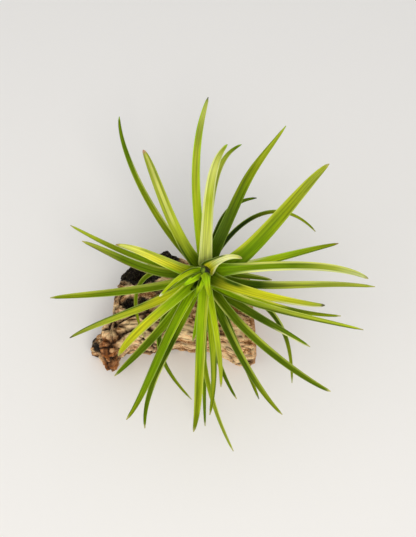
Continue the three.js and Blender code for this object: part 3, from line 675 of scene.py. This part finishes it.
barkLook = {
    # x along the bark, its front and back edges there and its top
    "outline": [
        (-57.5, -18, -14, 9), (-54, -19.5, -10, 14), (-50, -24.5, -8, 18), (-47, -26, -7, 21),
        (-44.7, -25, 13, 23.5), (-42, -22, 20, 25), (-36, -18.5, 24.5, 26.5), (-24, -18, 27, 27.5),
        (-12, -17.5, 27, 28.3), (0, -17, 25, 28.3), (8, -21.5, 24, 28), (16, -24, 22.5, 27.5),
        (21, -24, 21.5, 27), (23.5, -23, 19.5, 25),
    ],
    "boxiness": 0.55, "middle": 0.45,  # how square the section is, and where its middle lies in its height
    "endSkew": 0.07, "endSkewStart": 8,
    "ridgeTurns": 11, "ridgeHeight": 0.03, "ridgeWander": 0.2, "ridgeWanderLength": 57,
    "swellLength": 23, "swellTwist": 5, "swellHeight": 0.035,
    "hollowEdge": 1.5,
    # x, y, half length, half breadth, depth
    "hollows": [(-31, 17, 9, 5, 8), (-35, 1, 6, 3.5, 7)],
    # x, y, z, radius, how far out
    "knobs": [(-19.5, 26.5, 27, 6, 4.5), (-49, -12, 19, 5.5, 3), (-50, -20, 14, 4.5, 2), (-45, -26, 7, 5, 3)],
    "faceSize": 0.5, "sectionAt": -12.0,  # the faces' size, and where their number round the bark is found
    "girthSteps": 8000,
    "endRings": 16, "edgeRings": 2, "edgeCut": 0.5, "cutFlatness": 0.93,  # the cut end and its edge
    "warpSize": 16, "warp": 3.2, "warpStride": 7.3,  # bends all cracks and grain
    "brokenEnd": (-30, 0),  # left of the first x the bark is fully broken, and right of the second less so
    "plateLength": 14, "plateBreadth": 7, "plateEdge": 0.16, "smallPlates": 2.2, "smallEdge": 0.2,
    "crackDepth": 2.2, "plateDepth": 0.7, "smallDepth": 0.35, "smallStain": 0.5,
    # the share of the plates' and strokes' cracks at the right end, and at the broken end
    "plateShare": (0.35, 1), "strokeShare": (0.8, 0.4), "strokeStain": (0.8, 0.45),
    "strokeLength": 13, "strokeBreadth": 2.3, "strokeDepth": 0.9, "strokeEdge": 0.16, "strokeOffset": 3.1,
    "grainSize": (5, 0.9, 0.9), "grainDepth": 0.5, "grainOffset": 9.7, "grainTone": 0.3,
    # lumpHighlight paints raised lumps lighter: a painted highlight
    "lumpLength": 4, "lumpBreadth": 3, "lumpDepth": 0.8, "lumpOffset": 21, "lumpHighlight": 0.7,
    "footFade": 2.5,  # the relief fades over this height to the flat underside
    "lobeDepth": 1.6,
    # rounded lobes: x, y, z, radius and strength
    "lobes": [(-47, -14, 23, 5.5, 0.5), (-48, -21.5, 20, 5, 0.8), (-47, -27, 10, 4.5, 0.8)],
    # stains, and patches of painted shade and painted highlight: x, y, z, radius and strength
    "rust": [(-48, -21.5, 19, 6.5, 0.9), (-46, -27, 10, 7, 0.9), (-47, -15, 22, 5, 0.15)],
    # near-black patches, painted shade: in the hollows, round the knob, on the shaded left end and along the
    # low sides
    "paintedShade": [(-17, 27, 27, 7, 1), (-20, 25, 27, 6, 1), (-38, 18, 22, 8, 1), (-31, 18, 21, 9, 1),
             (-25, 18, 23, 7, 1), (-37, 1, 21, 5, 1), (-31, 1, 22, 5, 1), (-56, -12, 10, 4.5, 0.9),
             (-54.5, -18, 12, 4, 0.9), (-42, 20, 16, 7, 0.8), (22, -23, 6, 3, 0.5), (-40, -25, 8, 4, 0.9),
             (-44.5, 5, 12, 6, 0.6), (-44.5, -4, 12, 6, 0.6), (-30, -7.5, 27, 1.8, 1),
             (-28, -7, 27.5, 1.5, 1), (-45, -25, 16, 2.5, 0.8)],
    # pale patches, partly paler bark and partly painted highlights where light falls on the ridge between the
    # hollows and on the front plates
    "paleAndHighlight": [(-37, 8, 26, 5, 1), (-38, -9, 25, 7, 0.7), (-35, -14, 24, 8, 1), (-46, -13, 23, 5, 0.8),
               (-26, -17.5, 20, 7, 1), (-11, -14, 26, 7, 1), (12, -22, 20, 5, 0.6), (-38, -12, 25, 6, 0.6)],
    "stainEdge": (0.55, 1.25),
    # torn creases: from x, y, z to x, y, z, and half the breadth
    "creases": [(-50, -17, 20, -47, -18.5, 22, 0.8), (-47, -18.5, 22, -43.5, -20.5, 22, 0.8),
                (-48, -25, 17.5, -44, -24.5, 15.5, 1.4), (-44, -24.5, 15.5, -42.5, -22, 12.5, 1.2),
                (-52, -11, 16, -51, -16, 17, 0.8), (-51, -16, 17, -52, -21, 14, 0.9),
                (-43, -11.5, 25, -36, -13.5, 24.5, 0.6), (-37.5, -9, 25.5, -33.5, -8.5, 25.5, 0.4),
                (-45, -9, 24, -43.5, -13, 25, 0.6)],
    # creaseShade darkens the torn creases: painted shade
    "creaseEdge": (0.5, 1.6), "creaseDepth": 2.2, "creaseWarp": 0.25, "creaseShade": 0.9,
    # knobbleHighlight paints the knobbles' tops lighter as a painted highlight; beyond knobbleGap the gaps
    # between them are painted dark as shade
    "knobbleSize": 3.4, "knobbleDepth": 1.3, "knobbleMiddle": 0.45, "knobbleGap": (0.55, 0.8),
    "knobbleHighlight": 0.8, "knobbleTop": 0.4,
    # the sizes of the patterns in its colours, and what each does to them
    "fibreSize": (4.5, 0.7, 0.7), "speckSize": 0.7692, "patchSize": 8.333, "endGrainSize": 2,
    "highlightLift": 0.28, "crestTone": 0.7, "crestRange": (1.15, 1.6, 0, 1),
    "plateTones": [(0, "#8d5f34"), (0.45, "#e9ba8b"), (1, "#ffdfac")],
    "patchLight": (0.35, 0.65, 0.88, 1.18), "saturation": 1.05,
    "rustColour": "#b0662e", "rustStrength": 0.85,
    "cutTones": [(0.35, "#7d5234"), (0.5, "#b98156"), (0.66, "#d3a67c")],
    # the colour of the cracks, also used as painted shade in the creases and between the knobbles
    "crackAndShadeColour": "#301b0a",
    "paintedShadeTones": [(0.42, "#17110c"), (0.55, "#2a2319"), (0.68, "#6a604c")],
    "paintedShadeStrength": 1.5, "paintedShadeEdge": -0.1, "paintedShadeBreak": 0.45,
    "reliefDepth": 0.35, "reliefStrength": 0.9,
    "roughness": 0.92, "specular": 0.25,
}


# The bark's front, back and top at each x
def barkSizes(x):
    rows = np.array(barkLook["outline"], float)
    i = np.clip(np.searchsorted(rows[:, 0], x), 1, len(rows) - 1)
    before, after = rows[i - 1], rows[i]
    share = smooth(before[..., 0], after[..., 0], x)[..., None]
    return np.moveaxis(mix(before, after, share)[..., 1:], -1, 0)


def barkPoints(x, share):
    look = barkLook
    turn = 2 * math.pi * share
    front, back, top = barkSizes(x)
    across = np.sign(np.cos(turn)) * np.abs(np.cos(turn)) ** look["boxiness"]
    rise = np.sign(np.sin(turn)) * np.abs(np.sin(turn)) ** look["boxiness"]
    wander = look["ridgeWander"] * np.sin(2 * math.pi * x / look["ridgeWanderLength"])
    ridge = look["ridgeHeight"] * np.sin(2 * math.pi * (look["ridgeTurns"] * share + wander))
    swell = look["swellHeight"] * np.sin(2 * math.pi * x / look["swellLength"] + look["swellTwist"] * share)
    grow = 1 + ridge + swell
    y = (front + back) / 2 + (back - front) / 2 * across * grow
    z = top * look["middle"] + top * (1 - look["middle"]) * rise * grow
    for kx, ky, kz, radius, out in look["knobs"]:
        reach = np.sqrt((x - kx) ** 2 + (y - ky) ** 2 + (z - kz) ** 2) / radius
        push = out * np.exp(-reach * reach)
        y = y + push * across
        z = z + push * rise
    for hx, hy, long, broad, deep in look["hollows"]:
        reach = ((x - hx) / long) ** 2 + ((y - hy) / broad) ** 2
        z = z - np.where(rise > 0, deep * np.exp(-reach ** look["hollowEdge"]), 0)
    lastX = look["outline"][-1][0]
    x = x - look["endSkew"] * y * smooth(look["endSkewStart"], lastX, x)
    return np.stack([x, y, np.maximum(z, 0)], axis=-1)


# Shares of the girth of a section of the usual size, and how far round it each lies
def girthLengths():
    fine = np.linspace(0, 1, barkLook["girthSteps"] + 1)
    section = barkPoints(np.full(fine.shape, barkLook["sectionAt"]), fine)
    steps = np.linalg.norm(np.diff(section, axis=0), axis=1)
    return fine, np.concatenate([[0], np.cumsum(steps)])


def noiseAt(points, size, offset=0.0):
    scaled = np.asarray(points) / np.asarray(size, float) + offset
    return np.array([noise.noise(Vector(p)) for p in scaled])


def cracksAt(points, size, edge):
    scaled = np.asarray(points) / np.asarray(size, float)
    found = [noise.voronoi(Vector(p))[0] for p in scaled]
    between = np.array([d[1] - d[0] for d in found])
    return 1 - smooth(0, edge, between)


# How near points are to torn creases, from 0 to 1
def creaseAt(points):
    total = np.zeros(len(points))
    inner, outer = barkLook["creaseEdge"]
    for *ends, breadth in barkLook["creases"]:
        start, end = np.array(ends[:3], float), np.array(ends[3:], float)
        way = end - start
        along = np.clip((points - start) @ way / (way @ way), 0, 1)
        away = np.linalg.norm(points - start - along[:, None] * way, axis=1)
        total = np.maximum(total, 1 - smooth(inner * breadth, outer * breadth, away))
    return total


def stainAt(points, name):
    total = np.zeros(len(points))
    for x, y, z, radius, strength in barkLook[name]:
        away = np.linalg.norm(points - np.array([x, y, z]), axis=1) / radius
        total = np.maximum(total, strength * (1 - smooth(*barkLook["stainEdge"], away)))
    return total


# Rings of points from the left end to the middle of the cut end, and how far each point is cut flat
def barkRings():
    look = barkLook
    firstX, lastX = look["outline"][0][0], look["outline"][-1][0]
    fine, lengths = girthLengths()
    sides = int(lengths[-1] / look["faceSize"])
    stations = int((lastX - firstX) / look["faceSize"]) + 1
    shares = np.interp(np.linspace(0, lengths[-1], sides, endpoint=False), lengths, fine)
    x = np.repeat(np.linspace(firstX, lastX, stations)[:, None], sides, axis=1)
    rings = barkPoints(x, np.tile(shares, (stations, 1)))
    last = rings[-1]
    middle = last.mean(0)
    inner = [middle + (last - middle) * (1 - k / look["endRings"]) for k in range(1, look["endRings"])]
    cut = np.zeros((stations + len(inner), sides))
    cut[stations - 1:] = 1
    cut[stations - 1 - look["edgeRings"]:stations - 1] = look["edgeCut"]
    return np.concatenate([rings, np.array(inner)]), cut.ravel()


def barkMesh():
    look = barkLook
    rings, cut = barkRings()
    sides = rings.shape[1]
    along = np.gradient(rings, axis=0)
    around = np.roll(rings, -1, axis=1) - np.roll(rings, 1, axis=1)
    normals = unit(np.cross(around, along)).reshape(-1, 3)
    points = rings.reshape(-1, 3)

    warps = [noiseAt(points, look["warpSize"], k * look["warpStride"]) for k in range(3)]
    warp = np.column_stack(warps) * look["warp"]
    bent = points + warp
    broken = 1 - smooth(*look["brokenEnd"], points[:, 0])
    plateSize = np.array([look["plateLength"], look["plateBreadth"], look["plateBreadth"]])
    strokeSize = (look["strokeLength"], look["strokeBreadth"], look["strokeBreadth"])
    lumpSize = (look["lumpLength"], look["lumpBreadth"], look["lumpBreadth"])
    plates = cracksAt(bent, plateSize, look["plateEdge"]) * mix(*look["plateShare"], broken)
    small = cracksAt(bent, plateSize / look["smallPlates"], look["smallEdge"]) * broken
    strokes = 1 - smooth(0, look["strokeEdge"], np.abs(noiseAt(bent, strokeSize, look["strokeOffset"])))
    grain = noiseAt(bent, look["grainSize"], look["grainOffset"])
    lumps = noiseAt(bent, lumpSize, look["lumpOffset"])
    creases = creaseAt(points + look["creaseWarp"] * warp)
    lobes = stainAt(points, "lobes")
    knobbles = np.array([noise.voronoi(Vector(p))[0][0] for p in bent / look["knobbleSize"]])

    depth = look["crackDepth"] * (look["plateDepth"] * plates + look["smallDepth"] * small)
    depth = depth + look["strokeDepth"] * strokes * mix(*look["strokeShare"], broken)
    depth = depth + look["grainDepth"] * (0.5 - grain) - look["lumpDepth"] * lumps
    depth = depth + look["creaseDepth"] * creases - look["lobeDepth"] * lobes
    depth = depth + look["knobbleDepth"] * lobes * (knobbles - look["knobbleMiddle"])
    depth = depth * smooth(0, look["footFade"], points[:, 2]) * (1 - look["cutFlatness"] * cut)
    points = points - normals * depth[:, None]
    points[:, 2] = np.maximum(points[:, 2], 0)

    # cracks, with painted shade in the torn creases and in the gaps between knobbles
    crackAndShade = plates + look["smallStain"] * small + strokes * mix(*look["strokeStain"], broken)
    gaps = lobes * smooth(*look["knobbleGap"], knobbles)
    crackAndShade = np.clip(np.maximum.reduce([crackAndShade, look["creaseShade"] * creases, gaps]), 0, 1)
    # lighter on raised lumps and knobble tops: painted highlights over the grain's own tone
    grainTone = 0.5 + look["grainTone"] * grain + look["lumpHighlight"] * lumps
    attributes = {
        "barkCrack": crackAndShade * (1 - cut),
        "barkGrain": grainTone + look["knobbleHighlight"] * lobes * (look["knobbleTop"] - knobbles),
        "barkRust": stainAt(points, "rust"),
        "barkChar": stainAt(points, "paintedShade"),
        "barkBleach": stainAt(points, "paleAndHighlight"),
        "barkCut": cut,
    }
    ends = np.array([points[:sides].mean(0), points[-sides:].mean(0)])
    for key, values in attributes.items():
        attributes[key] = np.concatenate([values, [values[0], values[-1]]])
    return np.vstack([points, ends]), skinFaces(len(rings), sides), attributes


# Cork bark, split from the trunk and dried: dull and fissured, with cream crests, partly painted highlights,
# on brown plates, rusty lobes where it broke, and painted shade, near-black, in its hollows and shaded sides
def splitCorkBark():
    look = barkLook
    material, tree, shader = newMaterial("splitCorkBark", {
        "Roughness": look["roughness"], "Specular IOR Level": look["specular"]})
    crackAndShade, grain, rust, paintedShade, paleAndHighlight, cut = (
        addNode(tree, "ShaderNodeAttribute", {"attribute_name": name}).outputs["Fac"]
        for name in ("barkCrack", "barkGrain", "barkRust", "barkChar", "barkBleach", "barkCut")
    )
    place = addNode(tree, "ShaderNodeTexCoord").outputs["Object"]
    inMm = addNode(tree, "ShaderNodeVectorMath", {"operation": "SCALE", "Scale": 1 / mm}, {0: place})
    fibrePlace = addNode(tree, "ShaderNodeVectorMath", {"operation": "DIVIDE", 1: look["fibreSize"]}, {
        0: inMm})
    fibres = addNode(tree, "ShaderNodeTexNoise", {
        "Scale": 1, "Detail": 4, "Roughness": 0.65, "Distortion": 0.6}, {"Vector": fibrePlace})
    specks = addNode(tree, "ShaderNodeTexNoise", {
        "Scale": 1 / look["speckSize"], "Detail": 3, "Roughness": 0.7}, {"Vector": inMm})
    patches = addNode(tree, "ShaderNodeTexNoise", {"Scale": 1 / look["patchSize"], "Detail": 2}, {
        "Vector": inMm})
    endGrain = addNode(tree, "ShaderNodeTexNoise", {
        "Scale": 1 / look["endGrainSize"], "Detail": 5, "Roughness": 0.7}, {"Vector": inMm})

    both = addNode(tree, "ShaderNodeMath", {"operation": "ADD"}, {0: fibres, 1: specks})
    # lifts the pale patches, partly painted highlights, towards the cream crest tone
    highlighted = addNode(tree, "ShaderNodeMath", {"operation": "MULTIPLY_ADD", 1: look["highlightLift"]}, {
        0: paleAndHighlight, 2: both})
    # the grain attribute brings painted highlights on raised lumps and knobble tops into the crests
    crests = addNode(tree, "ShaderNodeMath", {"operation": "MULTIPLY_ADD", 1: look["crestTone"]}, {
        0: grain, 2: highlighted})
    tone = addNode(tree, "ShaderNodeMapRange", dict(enumerate(look["crestRange"], 1)), {0: crests})
    plate = addNode(tree, "ShaderNodeValToRGB", {"stops": look["plateTones"]}, {0: tone})
    light = addNode(tree, "ShaderNodeMapRange", dict(enumerate(look["patchLight"], 1)), {0: patches})
    shaded = addNode(tree, "ShaderNodeHueSaturation", {"Saturation": look["saturation"]}, {
        "Value": light, "Color": plate})
    rusty = addNode(tree, "ShaderNodeMath", {"operation": "MULTIPLY", 1: look["rustStrength"]}, {0: rust})
    rusted = addNode(tree, "ShaderNodeMix", {"data_type": "RGBA", 7: linear(look["rustColour"])}, {
        0: rusty, 6: shaded})
    sawn = addNode(tree, "ShaderNodeValToRGB", {"stops": look["cutTones"]}, {0: endGrain})
    ended = addNode(tree, "ShaderNodeMix", {"data_type": "RGBA"}, {0: cut, 6: rusted, 7: sawn})
    crackedAndShaded = addNode(tree, "ShaderNodeMix", {"data_type": "RGBA", 7: linear(look["crackAndShadeColour"])}, {
        0: crackAndShade, 6: ended})
    # painted shade: near-black with light flecks over the hollows and the shaded sides, its edge made ragged
    # by the specks
    shadeLevel = addNode(tree, "ShaderNodeMath", {
        "operation": "MULTIPLY_ADD", 1: look["paintedShadeStrength"], 2: look["paintedShadeEdge"]}, {0: paintedShade})
    ragged = addNode(tree, "ShaderNodeMath", {"operation": "MULTIPLY", 1: look["paintedShadeBreak"]}, {0: specks})
    raggedShade = addNode(tree, "ShaderNodeMath", {"operation": "SUBTRACT", "use_clamp": True}, {
        0: shadeLevel, 1: ragged})
    shadeColour = addNode(tree, "ShaderNodeValToRGB", {"stops": look["paintedShadeTones"]}, {0: specks})
    withPaintedShade = addNode(tree, "ShaderNodeMix", {"data_type": "RGBA"}, {0: raggedShade, 6: crackedAndShaded, 7: shadeColour})
    relief = addNode(tree, "ShaderNodeBump", {
        "Strength": look["reliefStrength"], "Distance": look["reliefDepth"] * mm}, {"Height": both})
    linkNode(tree, shader, {"Base Color": withPaintedShade, "Normal": relief})
    return material


def addBark():
    points, faces, attributes = barkMesh()
    bark = addMesh("cork_bark", points, faces, splitCorkBark(), attributes)
    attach(bark, "root")
    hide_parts("bark_mount")
    return BVHTree.FromPolygons(points.tolist(), faces)


barkTree = addBark()
print("bark made")

# The stem, wrapped in the dry sheaths of fallen leaves, and the roots that grip the bark

stemLook = {
    "stations": 150,
    "sides": 48,
    "sheathLength": 3.6,
    "sheathLift": 0.26,
    "sheathAround": 3,
    "sheathWave": 0.35,
    "bareTop": (4, 9),  # the sheaths fade out between these depths
    "edgeStart": 0.82, "edgeStrength": 0.6,
    "fibreSize": (0.6, 0.6, 5),
    "fibreLight": (0.3, 0.7, 0.7, 1.25),
    "fibreDepth": 0.08, "fibreRelief": 0.6,
    # the last, near-black tone at the top is painted shade deep in the crown's heart
    "tones": [(0, "#6d5836"), (0.35, "#9b8a52"), (0.7, "#4c6410"), (0.85, "#0b1203")],  # from its foot up
    "edgeColour": "#2a1d10",
    # the top is green at its left: the x of that green's edge, and the share of the height that it starts at
    "heartColour": "#83a012", "heartEdge": (-0.4, 0.3), "heartStart": 0.8,
    "roughness": 0.7,
}


# A round bar along a path, with a radius at each point of each ring
def barRings(path, radii, sides):
    path = np.asarray(path, float)
    along = unit(np.gradient(path, axis=0))
    reference = np.array([0.3, 0.95, 0])  # each ring starts square to this
    level = unit(np.cross(reference, along))
    across = np.cross(along, level)
    turn = 2 * math.pi * np.arange(sides) / sides
    radii = np.asarray(radii, float)
    radii = radii[:, None] if radii.ndim == 1 else radii
    ring = level[:, None] * np.cos(turn)[None, :, None] + across[:, None] * np.sin(turn)[None, :, None]
    return path[:, None] + ring * radii[:, :, None]


# Dry sheaths and living tissue: papery overlapping scales, brown at the foot and green to the crown, and
# near-black at the top, painted shade deep in the crown's heart
def dryLeafSheath():
    look = stemLook
    material, tree, shader = newMaterial("dryLeafSheath", {"Roughness": look["roughness"]})
    height = addNode(tree, "ShaderNodeAttribute", {"attribute_name": "stemHeight"}).outputs["Fac"]
    edge = addNode(tree, "ShaderNodeAttribute", {"attribute_name": "sheathEdge"}).outputs["Fac"]
    place = addNode(tree, "ShaderNodeTexCoord").outputs["Object"]
    fibreSize = [size * mm for size in look["fibreSize"]]
    fibrePlace = addNode(tree, "ShaderNodeVectorMath", {"operation": "DIVIDE", 1: fibreSize}, {0: place})
    fibres = addNode(tree, "ShaderNodeTexNoise", {"Scale": 1, "Detail": 3}, {"Vector": fibrePlace})
    light = addNode(tree, "ShaderNodeMapRange", dict(enumerate(look["fibreLight"], 1)), {0: fibres})
    tone = addNode(tree, "ShaderNodeValToRGB", {"stops": look["tones"]}, {0: height})
    aside = addNode(tree, "ShaderNodeSeparateXYZ", links={0: place}).outputs["X"]
    first, last = look["heartEdge"]
    atLeft = addNode(tree, "ShaderNodeMapRange", {1: first * mm, 2: last * mm, 3: 1, 4: 0}, {0: aside})
    onTop = addNode(tree, "ShaderNodeMath", {"operation": "GREATER_THAN", 1: look["heartStart"]}, {0: height})
    heart = addNode(tree, "ShaderNodeMath", {"operation": "MULTIPLY"}, {0: atLeft, 1: onTop})
    topped = addNode(tree, "ShaderNodeMix", {"data_type": "RGBA", 7: linear(look["heartColour"])}, {
        0: heart, 6: tone})
    streaked = addNode(tree, "ShaderNodeHueSaturation", links={"Value": light, "Color": topped})
    edged = addNode(tree, "ShaderNodeMix", {"data_type": "RGBA", 7: linear(look["edgeColour"])}, {
        0: edge, 6: streaked})
    relief = addNode(tree, "ShaderNodeBump", {
        "Strength": look["fibreRelief"], "Distance": look["fibreDepth"] * mm}, {"Height": fibres})
    linkNode(tree, shader, {"Base Color": edged, "Normal": relief})
    return material


def addStem():
    look = stemLook
    depths = np.linspace(plant["footDepth"], plant["topDepth"], look["stations"])
    turn = np.arange(look["sides"]) / look["sides"]
    # overlapping sheaths: each rises from under the one below and ends in a free edge
    phase = depths[:, None] / look["sheathLength"] + look["sheathAround"] * turn[None]
    phase = phase + look["sheathWave"] * np.sin(2 * math.pi * turn * 2)[None]
    lap = phase % 1
    lift = look["sheathLift"] * (1 - lap) * smooth(*look["bareTop"], depths)[:, None]
    radii = stemRadius(depths)[:, None] + lift
    path = np.column_stack([np.zeros(len(depths)), np.zeros(len(depths)), -depths])
    points, faces = closeRings(barRings(fromCrown(path), radii, look["sides"]))
    height = np.repeat(1 - depths / plant["footDepth"], look["sides"])
    edge = (smooth(look["edgeStart"], 1, lap) * look["edgeStrength"]).ravel()
    attributes = {
        "stemHeight": np.concatenate([height, [height[0], height[-1]]]),
        "sheathEdge": np.concatenate([edge, [0, 0]]),
    }
    stem = addMesh("sheathed_stem", points, faces, dryLeafSheath(), attributes)
    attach(stem, "root")
    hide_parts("stem")


rootLook = {
    "roots": [(5, 14), (60, 6), (160, 16), (195, 24), (245, 20), (300, 22), (340, 18)],  # bearing, length
    "depth": 36.5,  # where they leave the stem
    "radius": 0.55, "tipRadius": 0.16,
    "wander": 14, "waves": 5,
    "knots": 0.07,
    "sunk": 0.2,
    "evening": 7,  # points over which a root's height is evened out
    "sides": 10, "steps": 60,
    "grainSize": 0.9091,
    "tones": [(0.3, "#35241a"), (0.7, "#7d6140")],
    "grainDepth": 0.1, "grainRelief": 0.7,
    "roughness": 0.8,
}


# Wiry holdfast root, dry and woody: dull brown with a fine uneven grain
def wiryRootWood():
    look = rootLook
    material, tree, shader = newMaterial("wiryRootWood", {"Roughness": look["roughness"]})
    place = addNode(tree, "ShaderNodeTexCoord").outputs["Object"]
    grain = addNode(tree, "ShaderNodeTexNoise", {"Scale": 1 / (look["grainSize"] * mm), "Detail": 3}, {
        "Vector": place})
    tone = addNode(tree, "ShaderNodeValToRGB", {"stops": look["tones"]}, {0: grain})
    relief = addNode(tree, "ShaderNodeBump", {
        "Strength": look["grainRelief"], "Distance": look["grainDepth"] * mm}, {"Height": grain})
    linkNode(tree, shader, {"Base Color": tone, "Normal": relief})
    return material


def addRoots():
    look = rootLook
    foot = fromCrown(np.array([[0, 0, -look["depth"]]]))[0]
    share = np.linspace(0, 1, look["steps"] + 1)
    evening = np.ones(look["evening"]) / look["evening"]
    allPoints, allFaces = [], []
    for bearing, length in look["roots"]:
        turn = np.radians(bearing + look["wander"] * np.sin(look["waves"] * share + bearing))
        x = foot[0] + length * share * np.cos(turn)
        y = foot[1] + length * share * np.sin(turn)
        knots = [noise.noise(Vector((bearing, length, s * length))) for s in share]
        radii = mix(look["radius"], look["tipRadius"], share) + look["knots"] * np.array(knots)
        starts = [Vector((px, py, plant["crownHeight"])) for px, py in zip(x, y)]
        heights = [barkTree.ray_cast(start, -up)[0].z for start in starts]
        heights = np.convolve(np.pad(heights, len(evening) // 2, mode="edge"), evening, mode="valid")
        path = np.column_stack([x, y, heights + radii - look["sunk"]])
        points, faces = closeRings(barRings(path, radii, look["sides"]))
        offset = sum(len(p) for p in allPoints)
        allPoints.append(points)
        allFaces += [tuple(v + offset for v in f) for f in faces]
    roots = addMesh("holdfast_roots", np.vstack(allPoints), allFaces, wiryRootWood())
    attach(roots, "root")
    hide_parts("stem")


addStem()
addRoots()
print("stem and roots made")
